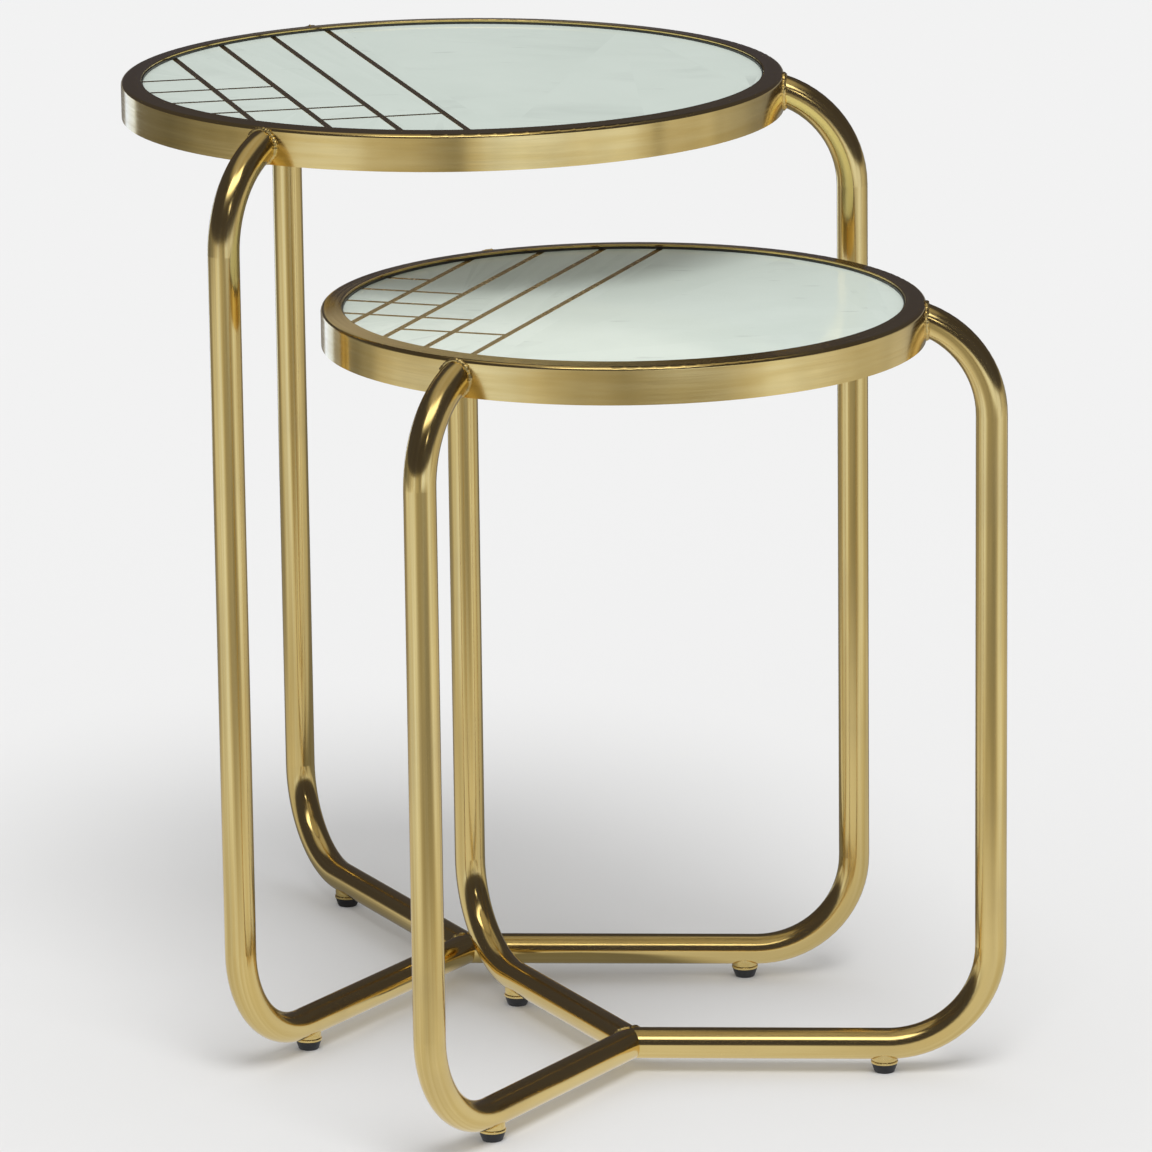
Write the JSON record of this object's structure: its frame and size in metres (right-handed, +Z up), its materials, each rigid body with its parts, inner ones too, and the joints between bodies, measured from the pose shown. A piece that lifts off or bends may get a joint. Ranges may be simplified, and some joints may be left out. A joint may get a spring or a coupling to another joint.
{
  "type": "nesting tables",
  "caption": "Round nesting side tables on bent-tube tripods, stone tops with metal inlays, the low one sliding under the tall one.",
  "frame": {"origin": "middle of the bottom of the box that holds both tables as they stand in the picture", "axes": "+Z up from the floor, +X along the right leg of each table, +Y to the back, where the taller table stands"},
  "size_m": [0.5412, 0.6122, 0.578],
  "materials": {
    "rim_metal": "satin brass plate",
    "tube_metal": "satin brass plate",
    "inlay_metal": "satin brass",
    "weld_metal": "plated weld bead",
    "foot_metal": "satin brass plate",
    "stone": "polished pale green-white marble",
    "board": "raw fibreboard",
    "inner_steel": "plain",
    "seal": "black sealant",
    "foot_pad": "matt black"
  },
  "bodies": {
    "large_table": {"large_rim": "rim_metal", "large_support_ring": "inner_steel", "large_backing_board": "board", "large_edge_seal": "seal", "large_top_screws": "inner_steel", "large_marble_field": "stone", "large_marble_strip_1": "stone", "large_marble_strip_2": "stone", "large_marble_strip_3": "stone", "large_marble_strip_4": "stone", "large_wide_inlays": "inlay_metal", "large_fine_inlays": "inlay_metal", "large_leg_right": "tube_metal", "large_leg_rear": "tube_metal", "large_leg_front": "tube_metal", "large_rim_welds": "weld_metal", "large_hub_weld": "weld_metal", "large_foot_bushes": "foot_metal"},
    "small_table": {"small_rim": "rim_metal", "small_support_ring": "inner_steel", "small_backing_board": "board", "small_edge_seal": "seal", "small_top_screws": "inner_steel", "small_marble_field": "stone", "small_marble_strip_1": "stone", "small_marble_strip_2": "stone", "small_marble_strip_3": "stone", "small_marble_strip_4": "stone", "small_wide_inlays": "inlay_metal", "small_fine_inlays": "inlay_metal", "small_leg_right": "tube_metal", "small_leg_rear": "tube_metal", "small_leg_front": "tube_metal", "small_rim_welds": "weld_metal", "small_hub_weld": "weld_metal", "small_foot_bushes": "foot_metal"},
    "large_foot_right": {"large_stud_right": "foot_metal", "large_pad_right": "foot_pad"},
    "large_foot_rear": {"large_stud_rear": "foot_metal", "large_pad_rear": "foot_pad"},
    "large_foot_front": {"large_stud_front": "foot_metal", "large_pad_front": "foot_pad"},
    "small_foot_right": {"small_stud_right": "foot_metal", "small_pad_right": "foot_pad"},
    "small_foot_rear": {"small_stud_rear": "foot_metal", "small_pad_rear": "foot_pad"},
    "small_foot_front": {"small_stud_front": "foot_metal", "small_pad_front": "foot_pad"}
  },
  "joints": [
    {"name": "small_table_slide", "type": "slide", "parent": "large_table", "child": "small_table", "axis": [0.5, -0.866, 0], "range_m": [-0.013, 0.27]},
    {"name": "large_foot_right_turn", "type": "hinge", "parent": "large_table", "child": "large_foot_right", "pos_m": [0.10787, 0.08487, 0], "axis": [0, 0, 1], "continuous": true},
    {"name": "large_foot_rear_turn", "type": "hinge", "parent": "large_table", "child": "large_foot_rear", "pos_m": [-0.15538, 0.23686, 0], "axis": [0, 0, 1], "continuous": true},
    {"name": "large_foot_front_turn", "type": "hinge", "parent": "large_table", "child": "large_foot_front", "pos_m": [-0.15538, -0.06712, 0], "axis": [0, 0, 1], "continuous": true},
    {"name": "small_foot_right_turn", "type": "hinge", "parent": "small_table", "child": "small_foot_right", "pos_m": [0.19712, -0.10869, 0], "axis": [0, 0, 1], "continuous": true},
    {"name": "small_foot_rear_turn", "type": "hinge", "parent": "small_table", "child": "small_foot_rear", "pos_m": [-0.03238, 0.02382, 0], "axis": [0, 0, 1], "continuous": true},
    {"name": "small_foot_front_turn", "type": "hinge", "parent": "small_table", "child": "small_foot_front", "pos_m": [-0.03238, -0.24119, 0], "axis": [0, 0, 1], "continuous": true}
  ]
}
